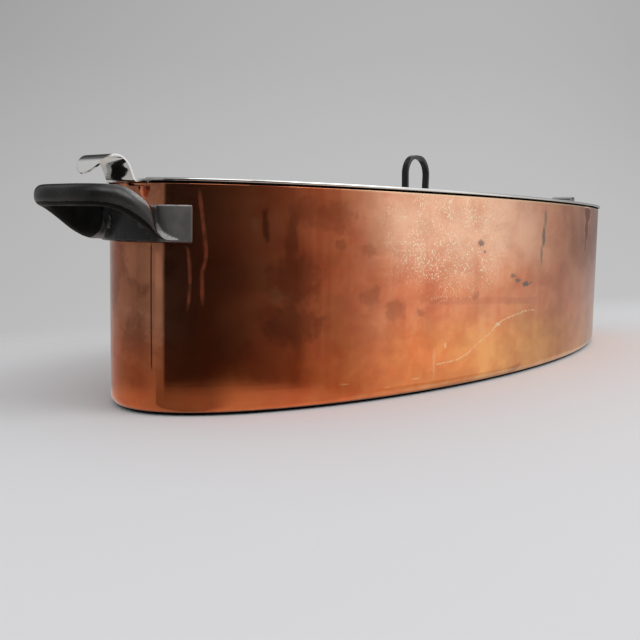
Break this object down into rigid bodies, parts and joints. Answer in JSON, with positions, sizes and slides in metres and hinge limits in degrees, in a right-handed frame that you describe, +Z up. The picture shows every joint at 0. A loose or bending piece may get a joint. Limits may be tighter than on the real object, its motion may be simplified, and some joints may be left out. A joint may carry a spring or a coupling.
{
  "type": "fish kettle",
  "caption": "Long oval copper pan lined with steel, with iron bail handles, a lid with a loop and a lift-out perforated rack for poaching a whole fish.",
  "frame": {"origin": "middle of the underside, on the surface the kettle rests on", "axes": "+X along the kettle's length to its far handle, -Y out of its front side, +Z up"},
  "size_m": [0.7102, 0.2212, 0.1649],
  "materials": {
    "copper": "polished copper with tarnish and fine scratches",
    "steel": "satin stainless steel",
    "polished_steel": "polished stainless steel",
    "black_iron": "matt black cast iron, smooth"
  },
  "bodies": {
    "kettle": {"copper_shell": "copper", "steel_liner": "steel", "near_handle": "black_iron", "far_handle": "black_iron", "near_handle_rivet_front": "black_iron", "near_handle_rivet_back": "black_iron", "far_handle_rivet_front": "black_iron", "far_handle_rivet_back": "black_iron"},
    "rack": {"rack_plate": "steel", "near_lifter": "polished_steel", "far_lifter": "polished_steel", "near_lifter_rivet_front": "steel", "near_lifter_rivet_back": "steel", "far_lifter_rivet_front": "steel", "far_lifter_rivet_back": "steel", "rack_foot_near_front": "steel", "rack_foot_near_back": "steel", "rack_foot_far_front": "steel", "rack_foot_far_back": "steel"},
    "lid": {"lid_plate": "steel", "lid_handle": "black_iron", "lid_rivet_near": "steel", "lid_rivet_far": "steel"}
  },
  "joints": [
    {"name": "rack_lift", "type": "slide", "parent": "kettle", "child": "rack", "axis": [0, 0, 1], "range_m": [0, 0.15]},
    {"name": "lid_lift", "type": "slide", "parent": "rack", "child": "lid", "axis": [0, 0, 1], "range_m": [0, 0.12]}
  ]
}
